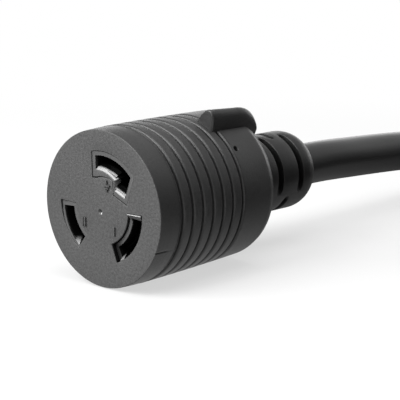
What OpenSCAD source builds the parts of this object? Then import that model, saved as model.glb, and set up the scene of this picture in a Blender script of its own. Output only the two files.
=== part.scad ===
// Shore power cord: a moulded 30 A, 250 V locking connector, its three-core cable and a matching plug.
// Millimetres, +Z up. The connector lies along +X with its slotted face towards -X.
// The origin is on the surface below the middle of the connector.

/* [Moulded body] */
// Radius of the body at its front band
body_radius = 24.5; // [22:0.1:30]
// Radius of the body just before its rear rim
rear_radius = 23.4; // [20:0.1:28]
// Length of the body from its face to the back of the rim
body_length = 53.7; // [50:0.1:70]
// Length of the smooth band behind the face
front_band = 8.4; // [6:0.1:12]
// Rounding of the front edge
front_edge = 0.5; // [0.4:0.05:2]
// Rounding of the rear rim
rim_edge = 1; // [0.5:0.1:3]
// Number of grip grooves
groove_count = 7; // [3:1:9]
// Distance of the first groove from the face
groove_first = 9.2; // [8:0.1:14]
// Distance from one groove to the next
groove_pitch = 4.65; // [3:0.01:5]
// Width of a groove at the surface
groove_width = 1.2; // [1:0.1:2.2]
// Width of a groove at its floor
groove_floor = 0.4; // [0.2:0.1:0.7]
// Length of a groove's front wall along the body
groove_front = 0.2; // [0.1:0.05:0.3]
// Depth of a groove
groove_depth = 0.95; // [0.3:0.05:1.5]
// Diameter of the core-pin hole in the rear band
pin_hole_d = 1.8; // [1:0.1:3]
// Distance of the core-pin hole from the face
pin_hole_x = 40.1; // [39.5:0.1:46]
// Depth of the core-pin hole
pin_hole_depth = 2.4; // [1:0.1:3]

/* [Thumb rib] */
// Width of the rib that marks the ground slot
rib_width = 6.8; // [4:0.1:9]
// Height of the rib's ridge above the axis
rib_top = 29.6; // [27:0.1:34]
// Distance of the rib's front foot from the face
rib_start = 35; // [30:0.1:40]
// Fall of the rib's ridge from its front to its rear
rib_fall = 2.2; // [0:0.1:3]
// Bevel at the ridge's front end
rib_bevel = 1.2; // [0.5:0.1:3]
// Radius of the rib's rear end
rib_end_radius = 7.5; // [5:0.5:10]
// Distance of the rib's rear end from the face
rib_end = 58.5; // [57:0.5:64]
// Height of the rib's underside behind the rim above the axis
rib_underside = 16.5; // [15:0.5:20]

/* [Strain relief] */
// Radius of the strain relief where it leaves the body
neck_radius = 13.2; // [12:0.1:16]
// Length of the strain relief
neck_length = 37.6; // [34:0.1:60]
// Length of its rounded end
neck_round = 7; // [4:0.5:12]
// Wall round the cable at its very end
neck_lip = 0.4; // [0.3:0.1:1.5]
// Droop of the connector's strain relief in degrees
neck_droop = 1; // [0:0.1:4]
// Distance of the first row of slits from the body
slit_first = 10.65; // [8:0.05:14]
// Distance from one row of slits to the next
slit_pitch = 5.3; // [4:0.1:6]
// Width of a slit
slit_width = 2.1; // [0.8:0.1:2.4]
// Depth of a slit
slit_depth = 2.6; // [1:0.1:4]

/* [Slots and contacts] */
// Diameter of the circle that the blades lie on
slot_circle = 28.6; // [26:0.1:32]
// Radial width of a slot
slot_width = 4.2; // [3:0.1:5]
// Radial width of the ground slot
slot_g_width = 4.9; // [4.2:0.1:5.2]
// Half angle of the slot for line X
slot_x_half = 28.2; // [22:0.1:32]
// Half angle of the slot for line Y
slot_y_half = 22.8; // [18:0.1:28]
// Angle of the ground slot on its plain side
slot_g_side = 33; // [26:0.5:38]
// Distance of the ground hook's outer side from the ground centre line
hook_side = 6.6; // [5.5:0.1:8]
// Width of the ground hook
hook_width = 5.3; // [4.6:0.1:5.6]
// Distance of the ground hook's end from the axis
hook_end = 8; // [7:0.1:9]
// Wall of the carrier's boss round a slot
boss_wall = 1.4; // [0.8:0.1:2]
// How far the bosses for Y and ground lie below the face
boss_sink = 0.25; // [0:0.05:1]
// How far the boss for X lies below the face
boss_sink_x = 0.9; // [0:0.05:1.5]
// Gap between a boss and its window
boss_gap = 0.12; // [0.05:0.01:0.3]
// Thickness of the moulding in front of the carrier
face_skin = 2; // [1.6:0.1:3]
// Wall between a slot's mouth and its pocket
pocket_front = 1.2; // [0.8:0.1:2]
// Radius of the contact carrier
carrier_radius = 20.4; // [19.4:0.1:21.4]
// Clearance round the carrier
carrier_gap = 0.1; // [0.05:0.05:0.3]
// Length of the contact carrier
carrier_length = 20; // [18:0.5:24]
// Thickness of the carrier's rear cap
cap_thickness = 3; // [2:0.5:4]
// Thickness of a contact leaf
leaf_thickness = 0.5; // [0.4:0.1:0.6]
// Thickness of a plug blade
blade_thickness = 1.65; // [1.2:0.05:2]
// Depth at which a contact's flared mouth begins
flare_start = 0.4; // [0.2:0.1:0.8]
// Length of the flared mouth
flare_length = 1.8; // [1:0.1:2.5]
// Depth at which a contact's plain leaf begins
leaf_start = 4; // [3:0.5:6]
// Spring gap in excess of a blade between two leaves
leaf_play = 0.05; // [0.02:0.01:0.2]
// Length of a blade in front of the plug's face
blade_length = 18.3; // [14:0.1:22]
// Thickness of the plug's blade carrier
blade_carrier_length = 14; // [10:0.5:18]
// Outside diameter of a crimp barrel
barrel_d = 5.4; // [5:0.1:5.5]
// Length of a crimp barrel
barrel_length = 9; // [8:0.5:11]

/* [Cable] */
// Outside diameter of the cable
cable_d = 14.4; // [12:0.1:16]
// Wall of the cable's jacket
jacket_wall = 1.3; // [1:0.1:1.8]
// Outside diameter of one insulated wire
wire_d = 5; // [4.2:0.1:5.4]
// Diameter of the bare strands of one wire
strands_d = 3; // [2.4:0.1:3.2]
// Radius of the coil's outer turn, at the middle of the cable
coil_outer = 102; // [96:1:115]
// Turns in each of the coil's two layers
coil_turns = 2.42; // [1.42:1:3.42]
// Gap between neighbouring turns
turn_gap = 0.6; // [0.5:0.1:2]

/* [Display] */
// Name of the node to draw, or all

/* [Hidden] */
$fn = 96;
// Directions round the axis, in degrees from the top towards -Y.
at_g = 23;
at_x = 123.8;
at_y = -118.3;
at_rib = 24.6;
at_pin_hole = 50.6;
at_seam = 114.5;
at_slits = [61, 160];
// Half angles of the long and the short slits.
slit_half = [53, 42];
slit_rows = 4;
band_step = 0.1;
seam_length = 5;
seam_size = 0.3;
gate_d = 1.4;
gate_depth = 0.4;
gate_at = [0.4, -0.4];
cut = 0.5;
pocket_room = 0.7;
leaf_side = 3;
base_thickness = 1.2;
base_edge = 0.2;
window_outer_x = 0.2;
cap_hole_gap = 0.15;
wire_gap = 0.08;
wire_straight = 1;
slot_g_far = 40;
leaf_g_end = 23;
leaf_g_inner_end = 5;
blade_g_end = 16;
hook_room = 1.9;
blade_slot_play = 0.2;
notch_angle = 6;
notch_near = 4;
notch_far = 9.5;
fit = 0.05;

axis_z = body_radius;
connector_length = body_length + neck_length;
face_x = -connector_length / 2;
slot_middle = slot_circle / 2;
slot_inner = slot_middle - slot_width / 2;
slot_outer = slot_middle + slot_width / 2;
slot_g_inner = slot_outer - slot_g_width;
hook_middle = hook_side - hook_width / 2;
cable_r = cable_d / 2;
neck_end_radius = cable_r + neck_lip;
carrier_back = face_skin + carrier_length;
cap_back = carrier_back + cap_thickness;
contact_back = carrier_back - base_thickness;
connector_barrel_end = contact_back + barrel_length;
plug_barrel_end = blade_carrier_length + barrel_length;
jacket_start = body_length + 3;
chamber_wall = 7;
chamber_end = body_length - 6.5;
chamber_straight = 0.665 * body_length;
core_circle = (wire_d / 2 + wire_gap) * 2 / sqrt(3);
turn_pitch = cable_d + turn_gap;
wire_sides = 12;
lead_sides = 10;
coil_sides = 6;
steps_per_turn = 24;
coil_angle = 2 * 360 * coil_turns;
layer_z = [cable_r, cable_r + turn_pitch];
climb = 180;
coil_far_side = 170.4;
coil_aside = 140;

// Where the neck ends and which way the cable leaves it, for the connector as it lies.
exit_dir = [cos(neck_droop), 0, -sin(neck_droop)];
exit_point = [face_x + body_length, 0, axis_z] + neck_length * exit_dir;

// The coil lies to the right of the connector's cable and below it in plan.
coil_center = [exit_point.x + coil_far_side - coil_outer, -coil_aside];

// Where the plug lies: on top of the coil, its face towards -X.
plug_neck_end = [
    coil_center.x + 0.235 * coil_outer, coil_center.y - 0.74 * coil_outer,
    2 * cable_r + turn_pitch + body_radius,
];

// The coil, by the angle wound so far: inwards on the lower layer, outwards on the upper one.
function coil_radius(a) = coil_outer - turn_pitch * min(a, coil_angle - a) / 360;
function coil_climb(a) = min(1, max(0, (a - coil_angle / 2 + climb / 2) / climb));
function coil_point(a) = let (r = coil_radius(a), up = (1 - cos(180 * coil_climb(a))) / 2)
    [
        coil_center.x + r * cos(-a), coil_center.y + r * sin(-a),
        layer_z[0] + up * (layer_z[1] - layer_z[0]),
    ];
coil_steps = round(coil_angle * steps_per_turn / 360);
coil_start = [coil_center.x + coil_outer, coil_center.y + cable_d, layer_z[0]];
coil_end = coil_point(coil_angle) + cable_d * [-sin(coil_angle), -cos(coil_angle), 0];
coil_points = concat(
    [coil_start],
    [for (i = [0:coil_steps]) coil_point(i * coil_angle / coil_steps)],
    [coil_end]
);

// Route of the cable from the connector to the coil, by hand: distance along X from the neck's
// end, Y, and the height as a share of the way up from the lower layer to the neck's end.
lead_route = [
    [24.4, 0, 0.953], [34.4, 0, 0.917], [46.4, 0, 0.869], [57.4, 0, 0.826], [69.4, 0, 0.772],
    [82.6, -0.9, 0.712], [95.5, -3.4, 0.645], [108.1, -7.7, 0.573], [119.9, -13.5, 0.501],
    [130.9, -20.9, 0.428], [140.8, -29.6, 0.356], [149.5, -39.5, 0.283], [156.9, -50.5, 0.217],
    [162.7, -62.3, 0.157], [167, -74.9, 0.103], [169.5, -87.8, 0.06], [170.4, -101, 0.024],
    [170.4, -119, 0],
];
lead_points = concat(
    [exit_point, exit_point + cable_d * exit_dir],
    [for (p = lead_route) [
        exit_point.x + p[0], p[1], layer_z[0] + p[2] * (exit_point.z - layer_z[0]),
    ]],
    [coil_start]
);

// Route of the cable from the coil up to the plug on top of it, by hand: X and Y from the coil's
// centre in outer radii, and the height as a share of the way up from the upper layer to the plug.
tail_route = [
    [0.758, 0.692, 0.01], [0.854, 0.601, 0.038], [0.937, 0.498, 0.083], [1.007, 0.381, 0.146],
    [1.061, 0.26, 0.219], [1.098, 0.133, 0.305], [1.119, -0.003, 0.403], [1.119, -0.135, 0.498],
    [1.097, -0.265, 0.594], [1.047, -0.392, 0.692], [0.973, -0.502, 0.778], [0.879, -0.595, 0.851],
    [0.764, -0.67, 0.914], [0.641, -0.717, 0.962], [0.51, -0.738, 0.99],
];
tail_points = concat(
    [coil_end],
    [for (p = tail_route) [
        coil_center.x + p[0] * coil_outer, coil_center.y + p[1] * coil_outer,
        layer_z[1] + p[2] * (plug_neck_end.z - layer_z[1]),
    ]],
    [plug_neck_end + [cable_d, 0, 0], plug_neck_end]
);

function unit(v) = v / norm(v);
function along(p, i) = unit(p[min(i + 1, len(p) - 1)] - p[max(i - 1, 0)]);
function route_length(p) = sum([for (i = [1:len(p) - 1]) norm(p[i] - p[i - 1])]);
function sum(v, i = 0, s = 0) = i == len(v) ? s : sum(v, i + 1, s + v[i]);
// Ring i of a tube along route p. Its first corner points up.
function ring(p, i, r, n) =
    let (t = along(p, i), s = unit(cross(t, [0, 0, 1])), u = cross(s, t))
    [for (k = [0:n - 1]) p[i] + r * (cos(360 * k / n) * u + sin(360 * k / n) * s)];

// The least distance between two turns of the coil, surface to surface.
coil_gap = min([
    for (i = [0:coil_steps], j = [0:coil_steps])
        if (j - i >= steps_per_turn / 2) norm(coil_points[i + 1] - coil_points[j + 1]) - cable_d
]);
echo(
    coil_gap = coil_gap, lead = route_length(lead_points), coil = route_length(coil_points),
    tail = route_length(tail_points),
    cord = route_length(lead_points) + route_length(coil_points) + route_length(tail_points),
    exit_point = exit_point, coil_end = coil_end
);

module tube(p, r, n) {
    rings = len(p);
    points = [for (i = [0:rings - 1]) each ring(p, i, r, n)];
    sides = [
        for (i = [0:rings - 2], k = [0:n - 1]) let (a = i * n + k, b = i * n + (k + 1) % n)
            each [[a, b, a + n], [b, b + n, a + n]]
    ];
    start = [for (k = [1:n - 2]) [0, k + 1, k]];
    end = [for (k = [1:n - 2]) (rings - 1) * n * [1, 1, 1] + [0, k, k + 1]];
    polyhedron(points, concat(sides, start, end));
}

// Lays a shape drawn in the plane of Y and Z, extruded along the axis.
module along_axis() rotate([90, 0, 90]) children();

module place_connector() translate([face_x, 0, axis_z]) children();

module place_plug() translate(plug_neck_end - [connector_length, 0, 0]) children();

// Moves what lies in the connector's drooping neck, drawn from the back of the body.
module in_neck(droop) translate([body_length, 0, 0]) rotate([0, droop, 0]) along_axis() children();

module rod(x0, x1, r) along_axis() translate([0, 0, x0]) cylinder(h = x1 - x0, r = r);

function barrel_of(x) =
    body_radius - (body_radius - rear_radius)
    * pow(max(0, x - front_band) / (body_length - rim_edge - front_band), 2);

// A groove has a steep front wall, a flat floor and a sloping rear wall.
function groove(x) = let (
        front = x - groove_width / 2, back = x + groove_width / 2,
        floor_start = front + groove_front, floor_end = floor_start + groove_floor
    ) [
        [barrel_of(front), front],
        [barrel_of(x) - groove_depth, floor_start],
        [barrel_of(x) - groove_depth, floor_end],
        [barrel_of(back), back],
    ];

module body_shape() {
    back = body_length - rim_edge;
    last_groove = groove_first + (groove_count - 1) * groove_pitch;
    along_axis() rotate_extrude() polygon(concat(
        [[0, 0]],
        [for (a = [0:15:90]) [
            body_radius - band_step - front_edge * (1 - sin(a)), front_edge * (1 - cos(a)),
        ]],
        [[body_radius - band_step, front_band]],
        [for (i = [0:groove_count - 1]) each groove(groove_first + i * groove_pitch)],
        [for (k = [0.3, 0.65]) let (x = last_groove + k * (back - last_groove)) [barrel_of(x), x]],
        [for (a = [0:15:90]) [
            rear_radius - rim_edge * (1 - cos(a)), back + rim_edge * sin(a),
        ]],
        [[0, body_length]]
    ));
}

module neck_shape(droop) {
    straight = neck_length - neck_round;
    in_neck(droop) rotate_extrude() polygon(concat(
        [[0, -rim_edge], [neck_radius, -rim_edge]],
        [for (a = [0:9:90]) [
            neck_end_radius + (neck_radius - neck_end_radius) * cos(a),
            straight + neck_round * sin(a),
        ]],
        [[0, neck_length]]
    ));
}

module turned(angle) rotate([angle, 0, 0]) children();

module rib_shape() {
    rear_top = rib_top - rib_fall;
    rib_foot = rear_radius - rim_edge;
    arc = [for (a = [0:9:90]) [
        rib_end - rib_end_radius + rib_end_radius * sin(a),
        rear_top - rib_end_radius + rib_end_radius * cos(a),
    ]];
    turned(at_rib) intersection() {
        along_axis() linear_extrude(rib_end + cut) polygon(concat(
            [[-rib_width / 2, 0]],
            [for (a = [0:12:180]) [
                -rib_width / 2 * cos(a), rib_foot + (rib_top - rib_foot) * sin(a),
            ]],
            [[rib_width / 2, 0]]
        ));
        rotate([90, 0, 0]) translate([0, 0, -rib_width]) linear_extrude(2 * rib_width) polygon(concat(
            [[rib_start, rib_foot], [rib_start, rib_top - rib_bevel]],
            [[rib_start + rib_bevel, rib_top]],
            arc,
            [[rib_end, rib_underside], [body_length - rim_edge, rib_underside]]
        ));
    }
}

// A ring sector, its angles counted from the top towards -Y.
module sector(inner, outer, from, to) {
    far = 2 * outer;
    steps = 4;
    intersection() {
        difference() {
            circle(r = outer);
            circle(r = inner);
        }
        polygon(concat(
            [[0, 0]],
            [for (i = [0:steps]) let (a = from + (to - from) * i / steps) far * [-sin(a), cos(a)]]
        ));
    }
}

function degrees_at(length) = length / slot_middle * 180 / PI;

// The three slot outlines, each grown by a margin.
module slot_x(grow = 0, outer_grow = 0) rotate(at_x)
    sector(slot_inner - grow, slot_outer + outer_grow,
        -slot_x_half - degrees_at(grow), slot_x_half + degrees_at(grow));

module slot_y(grow = 0) rotate(at_y)
    sector(slot_inner - grow, slot_outer + grow,
        -slot_y_half - degrees_at(grow), slot_y_half + degrees_at(grow));

module slot_g(grow = 0) rotate(at_g) {
    side = hook_side + grow;
    intersection() {
        sector(slot_g_inner - grow, slot_outer + grow, -slot_g_side - degrees_at(grow), slot_g_far);
        translate([-side, 0]) square([2 * slot_circle, slot_circle]);
    }
    translate([-side, hook_end - grow]) square([hook_width + 2 * grow, slot_middle - hook_end]);
}

module slit(row) {
    kind = row % 2 == 0 ? 1 : 0;
    for (turn = [0, 180]) translate([0, 0, slit_first + row * slit_pitch - slit_width / 2])
        linear_extrude(slit_width)
            sector(neck_radius - slit_depth, neck_radius + 1,
                at_slits[kind] + turn - slit_half[kind], at_slits[kind] + turn + slit_half[kind]);
}

// The outer form that connector and plug share, with the room for wires and cable taken out.
module moulding(droop, chamber_start) {
    difference() {
        union() {
            body_shape();
            neck_shape(droop);
            rib_shape();
        }
        in_neck(droop) for (row = [0:slit_rows - 1]) slit(row);
        in_neck(droop) translate([0, 0, -chamber_wall])
            cylinder(h = neck_length + chamber_wall + cut, r = cable_r + fit);
        rod(chamber_start, chamber_straight, carrier_radius - 1);
        along_axis() translate([0, 0, chamber_straight - fit])
            cylinder(h = chamber_end - chamber_straight, r1 = carrier_radius - 1, r2 = cable_r + 2.5);
        turned(at_pin_hole) translate([pin_hole_x, 0, barrel_of(pin_hole_x) - pin_hole_depth])
            cylinder(h = pin_hole_depth + 1, d = pin_hole_d, $fn = 24);
    }
}

module connector_body() color("#2a2a2b") place_connector() difference() {
    moulding(neck_droop, cap_back - fit);
    rod(face_skin, cap_back, carrier_radius + carrier_gap);
    along_axis() translate([0, 0, -cut]) linear_extrude(face_skin + 2 * cut) {
        slot_x(boss_wall, window_outer_x);
        slot_y(boss_wall);
        slot_g(boss_wall);
    }
    along_axis() translate([gate_at.x, gate_at.y, -cut])
        cylinder(h = cut + gate_depth, d = gate_d, $fn = 24);
    turned(at_seam) translate([-cut, -seam_size / 2, body_radius - seam_size / 2])
        cube([seam_length + cut, seam_size, 1]);
}

module contact_carrier() color("#3a3a3c") place_connector() along_axis() difference() {
    wall = boss_wall - boss_gap;
    union() {
        translate([0, 0, face_skin]) cylinder(h = carrier_length, r = carrier_radius);
        translate([0, 0, boss_sink_x]) linear_extrude(face_skin - boss_sink_x + cut)
            slot_x(wall, window_outer_x - boss_gap);
        translate([0, 0, boss_sink]) linear_extrude(face_skin - boss_sink + cut) {
            slot_y(wall);
            slot_g(wall);
        }
    }
    translate([0, 0, -cut]) linear_extrude(carrier_back) {
        slot_x(0, window_outer_x);
        slot_y();
        slot_g();
    }
    translate([0, 0, face_skin + pocket_front]) linear_extrude(carrier_length) {
        slot_x(pocket_room, pocket_room);
        slot_y(pocket_room);
        slot_g(pocket_room);
    }
}

module carrier_cap() color("#4a4a4c") place_connector() along_axis()
    translate([0, 0, carrier_back]) difference() {
        cylinder(h = cap_thickness, r = carrier_radius);
        for (a = [at_g, at_x, at_y]) rotate(a) translate([0, slot_middle, -cut])
            cylinder(h = cap_thickness + 2 * cut, d = barrel_d + 2 * cap_hole_gap);
    }

// One leaf of a contact: from its mouth at depth start down to the blade's side, then straight.
module leaf(mouth, inner, from, to, start) intersection() {
    rotate_extrude() polygon(leaf_section(mouth, inner, start));
    linear_extrude(contact_back + 2 * cut) sector(inner - 3, inner + 3, from, to);
}

function leaf_section(mouth, inner, start) = let (end = start + flare_length, back = contact_back + cut / 2) [
    [mouth, start], [mouth + leaf_thickness, start], [inner + leaf_thickness, end],
    [inner + leaf_thickness, back], [inner, back], [inner, end],
];

// A female contact: a flared and a plain leaf on a base, and the barrel that is crimped on its wire.
module contact(flared_inside, from, to, inner_to, sink) {
    half_gap = (blade_thickness + leaf_play) / 2;
    inner = slot_middle - half_gap - leaf_thickness;
    outer = slot_middle + half_gap;
    if (flared_inside) {
        leaf(slot_g_inner + fit, inner, from, inner_to, flare_start + sink);
        leaf(outer, outer, from, to, leaf_start);
    } else {
        leaf(inner, inner, from, inner_to, leaf_start);
        leaf(slot_outer - fit - leaf_thickness, outer, from, to, flare_start + sink);
    }
    translate([0, 0, contact_back]) linear_extrude(base_thickness)
        sector(inner - base_edge, outer + leaf_thickness + base_edge, from - 1, to + 1);
    translate([0, slot_middle, contact_back]) difference() {
        cylinder(h = barrel_length, d = barrel_d);
        translate([0, 0, base_thickness + cut]) cylinder(h = barrel_length, d = strands_d + 2 * fit);
    }
}

// The ground contact's tab lines the end of the hook, flared like a leaf.
module hook_tab() {
    near = -hook_side + fit;
    width = hook_width - 2 * fit;
    low = hook_end + fit;
    rise = hook_room - leaf_thickness - 2 * fit;
    translate([near + width, 0, 0]) rotate([0, -90, 0]) linear_extrude(width)
        polygon([for (p = leaf_section(low, low + rise, flare_start + boss_sink)) [p.y, p.x]]);
    translate([near + cut, low + rise, contact_back])
        cube([width - cut, slot_middle - low - rise, base_thickness]);
}

module contact_g() color("#c8a24a") place_connector() along_axis() rotate(at_g) {
    contact(true, -slot_g_side + leaf_side, leaf_g_end, leaf_g_inner_end, boss_sink);
    hook_tab();
}
module contact_x() color("#c8a24a") place_connector() along_axis() rotate(at_x) {
    side = slot_x_half - leaf_side;
    contact(false, -side, side, side, boss_sink_x);
}
module contact_y() color("#c8a24a") place_connector() along_axis() rotate(at_y) {
    side = slot_y_half - leaf_side;
    contact(false, -side, side, side, boss_sink);
}

// A plug blade with its lock notch, and the barrel that is crimped on its wire.
module blade(at, from, to) color("#d0b060") along_axis() mirror([1, 0, 0]) rotate(at) {
    inner = slot_middle - blade_thickness / 2;
    outer = slot_middle + blade_thickness / 2;
    difference() {
        translate([0, 0, -blade_length]) linear_extrude(blade_length + blade_carrier_length)
            sector(inner, outer, from, to);
        translate([0, 0, -notch_far]) linear_extrude(notch_far - notch_near)
            sector(inner - 1, outer + 1, from - 1, from + notch_angle);
    }
    translate([0, slot_middle, blade_carrier_length - cut]) difference() {
        cylinder(h = barrel_length + cut, d = barrel_d);
        translate([0, 0, cut + 1]) cylinder(h = barrel_length, d = strands_d + 2 * fit);
    }
}

module hook_bar(grow) translate([-hook_middle - blade_thickness / 2 - grow, hook_end + hook_room - grow])
    square([blade_thickness + 2 * grow, slot_middle - hook_end - hook_room]);

module blade_g() place_plug() {
    blade(at_g, -slot_g_side + leaf_side + 1, blade_g_end);
    color("#d0b060") along_axis() mirror([1, 0, 0]) rotate(at_g)
        translate([0, 0, -blade_length]) linear_extrude(blade_length + blade_carrier_length)
            hook_bar(0);
}
module blade_x() place_plug() blade(at_x, -slot_x_half + leaf_side + 1, slot_x_half - leaf_side - 1);
module blade_y() place_plug() blade(at_y, -slot_y_half + leaf_side + 1, slot_y_half - leaf_side - 1);

module plug_body() color("#2a2a2b") place_plug() mirror([0, 1, 0]) difference() {
    moulding(0, blade_carrier_length - fit);
    rod(-cut, blade_carrier_length, carrier_radius + carrier_gap);
}

module blade_carrier() color("#3a3a3c") place_plug() along_axis() mirror([1, 0, 0]) difference() {
    inner = slot_middle - blade_thickness / 2 - fit;
    outer = slot_middle + blade_thickness / 2 + fit;
    cylinder(h = blade_carrier_length, r = carrier_radius);
    translate([0, 0, -cut]) linear_extrude(blade_carrier_length + 2 * cut) {
        x_half = slot_x_half - leaf_side - 1 + blade_slot_play;
        y_half = slot_y_half - leaf_side - 1 + blade_slot_play;
        rotate(at_x) sector(inner, outer, -x_half, x_half);
        rotate(at_y) sector(inner, outer, -y_half, y_half);
        rotate(at_g) {
            sector(inner, outer, -slot_g_side + leaf_side + 1 - blade_slot_play,
                blade_g_end + blade_slot_play);
            hook_bar(fit);
        }
    }
    for (a = [at_g, at_x, at_y]) rotate(a)
        translate([0, slot_middle, blade_carrier_length - cut - fit])
            cylinder(h = 2 * cut, d = barrel_d + 2 * fit);
}

// Bare strands in the three barrels.
module strands(barrel_end, grip) along_axis()
    for (a = [at_g, at_x, at_y]) rotate(a) translate([0, slot_middle, barrel_end - grip])
        cylinder(h = grip, d = strands_d);

module connector_strands() color("#b87333") place_connector()
    strands(connector_barrel_end, barrel_length - base_thickness - 1);
module plug_strands() color("#b87333") place_plug() mirror([0, 1, 0])
    strands(plug_barrel_end, barrel_length - 2);

// An insulated wire: straight behind its barrel, then in to its place in the cable.
function wire_route(at, barrel_end, droop) = let (
        start = barrel_end + fit,
        from = start + wire_straight,
        to = body_length - 2.5,
        tip = body_length + neck_length * cos(droop) - 1,
        xs = concat([start], [for (i = [0:8]) from + (to - from) * i / 8], [body_length + 2, tip])
    )
    [for (x = xs) let (
            t = min(1, max(0, (x - from) / (to - from))),
            r = core_circle + (slot_middle - core_circle) * (1 + cos(180 * t)) / 2,
            drop = max(0, x - body_length) * tan(droop)
        ) [x, -r * sin(at), r * cos(at) - drop]];

module wire(at, barrel_end, droop) tube(wire_route(at, barrel_end, droop), wire_d / 2, wire_sides);

module connector_wire_g() color("#2e7d3a") place_connector() wire(at_g, connector_barrel_end, neck_droop);
module connector_wire_x() color("#1c1c1c") place_connector() wire(at_x, connector_barrel_end, neck_droop);
module connector_wire_y() color("#e8e8e4") place_connector() wire(at_y, connector_barrel_end, neck_droop);
module plug_wire_g() color("#2e7d3a") place_plug() wire(-at_g, plug_barrel_end, 0);
module plug_wire_x() color("#1c1c1c") place_plug() wire(-at_x, plug_barrel_end, 0);
module plug_wire_y() color("#e8e8e4") place_plug() wire(-at_y, plug_barrel_end, 0);

module jacket_end(droop) in_neck(droop) translate([0, 0, jacket_start - body_length]) difference() {
    length = neck_length - (jacket_start - body_length);
    cylinder(h = length, r = cable_r);
    translate([0, 0, -cut]) cylinder(h = length + 2 * cut, r = cable_r - jacket_wall);
}
module connector_jacket_end() color("#1e1e1f") place_connector() jacket_end(neck_droop);
module plug_jacket_end() color("#1e1e1f") place_plug() jacket_end(0);

module cord_lead() color("#1e1e1f") tube(lead_points, cable_r, lead_sides);
module cord_coil() color("#1e1e1f") tube(coil_points, cable_r, coil_sides);
module cord_tail() color("#1e1e1f") tube(tail_points, cable_r, lead_sides);

connector_body();
contact_carrier();
carrier_cap();
contact_g();
contact_x();
contact_y();
connector_strands();
connector_wire_g();
connector_wire_x();
connector_wire_y();
connector_jacket_end();
cord_lead();
cord_coil();
cord_tail();
plug_body();
blade_carrier();
blade_g();
blade_x();
blade_y();
plug_strands();
plug_wire_g();
plug_wire_x();
plug_wire_y();
plug_jacket_end();
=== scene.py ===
"""A moulded shore power cord: its locking connector, its three-core cable and its plug.

Shapes are worked out in millimetres in the frame of one moulding: X along its axis from the face,
Y and Z across it, and azimuths in degrees from the top (+Z) towards -Y. Each is placed in metres.
"""

import bmesh
import bpy
import numpy as np
from mathutils import Matrix, Vector, geometry


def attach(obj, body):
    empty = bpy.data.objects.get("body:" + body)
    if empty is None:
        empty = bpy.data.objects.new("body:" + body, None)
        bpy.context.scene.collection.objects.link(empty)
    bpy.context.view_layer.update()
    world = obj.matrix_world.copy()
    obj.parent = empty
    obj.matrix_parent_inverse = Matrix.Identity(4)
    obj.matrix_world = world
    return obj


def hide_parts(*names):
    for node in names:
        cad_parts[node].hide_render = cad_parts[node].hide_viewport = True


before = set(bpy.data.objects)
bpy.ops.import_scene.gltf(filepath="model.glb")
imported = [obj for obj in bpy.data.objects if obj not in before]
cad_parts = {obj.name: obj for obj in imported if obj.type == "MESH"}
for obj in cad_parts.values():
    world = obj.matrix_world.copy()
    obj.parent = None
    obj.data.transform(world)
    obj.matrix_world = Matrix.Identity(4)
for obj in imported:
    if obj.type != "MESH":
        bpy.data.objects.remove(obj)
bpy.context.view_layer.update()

MM = 0.001

# Moulded body, in millimetres.
BODY_RADIUS = 24.5
REAR_RADIUS = 23.85
BODY_LENGTH = 53.7
FRONT_BAND = 8.4
BAND_STEP = 0.1
FRONT_EDGE = 0.2
FRONT_TAPER = 0.2
RIM_EDGE = 0.8
RIM_BEVEL = 1.9
RIM_DROP = 0.6
GROOVE_FIRST = 9.2
GROOVE_PITCH = 4.65
GROOVE_COUNT = 7
GROOVE_DEPTH = 1.0
PIN_HOLE_X = 40.1
PIN_HOLE_AT = 50.6
PIN_HOLE_RADIUS = 0.9
PIN_HOLE_DEPTH = 2.4
PIN_HOLE_LIP = 0.12
SEAM_AT = 114.5
SEAM_LENGTH = 5.0
SEAM_DEPTH = 0.22
SEAM_HALF = 0.3

# Thumb rib.
RIB_AT = 24.6
RIB_HALF = 3.5
RIB_TOP = 29.9
RIB_START = 35.0
RIB_FALL = 1.1
RIB_BEND = 47.9
RIB_END = 58.45
RIB_LOW = 22.0
RIB_FOOT = 21.3
RIB_UNDERSIDE = 16.5

# Strain relief.
NECK_RADIUS = 13.2
NECK_LENGTH = 37.6
NECK_ROUND = 7.0
NECK_LIP = 0.4
NECK_FILLET = 1.2
NECK_DROOP = 1.0
SLIT_FIRST = 10.9
SLIT_PITCH = 5.3
SLIT_ROWS = 4
SLIT_WIDTH = 2.8
SLIT_DEPTH = 2.6
SLIT_AT = (63.0, 160.0)
SLIT_HALF = (51.5, 42.0)

# Slots and carriers.
SLOT_MIDDLE = 14.3
SLOT_WIDTH = 4.2
SLOT_INNER = SLOT_MIDDLE - SLOT_WIDTH / 2
SLOT_OUTER = SLOT_MIDDLE + SLOT_WIDTH / 2
AT_X = 123.6
AT_Y = -117.7
X_HALF = 29.9
Y_HALF = 24.0
G_OUTER_ARC = (-9.6, 46.3)
G_INNER_RADIUS = 11.28
G_INNER_MIDDLE = (1.757, 0.59)
G_INNER_ARC = (-4.4, 37.6)
G_HOOK = ((-9.5, 4.5), (-5.2, 6.3))
BOSS_WALL = 1.4
BOSS_GAP = 0.12
BOSS_SINK = 0.25
BOSS_SINK_X = 0.9
X_OUTER = 0.2
FACE_SKIN = 2.0
POCKET_FRONT = 1.2
POCKET_ROOM = 0.7
CARRIER_RADIUS = 20.4
CARRIER_GAP = 0.1
CARRIER_LENGTH = 20.0
CAP_THICKNESS = 3.0
BLADE_CARRIER_LENGTH = 14.0
CHAMBER_STRAIGHT = 35.7
CHAMBER_END = 47.2
CHAMBER_WALL = 7.0

# Cable. The coil's turns are those of one layer, and its outer radius is that of the middle line.
CABLE_D = 14.4
CABLE_R = CABLE_D / 2
COIL_OUTER = 102.0
COIL_TURNS = 2.42
TURN_GAP = 0.6
JACKET_SWELL = 0.05
WIRE_LAY = 160.0

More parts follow.
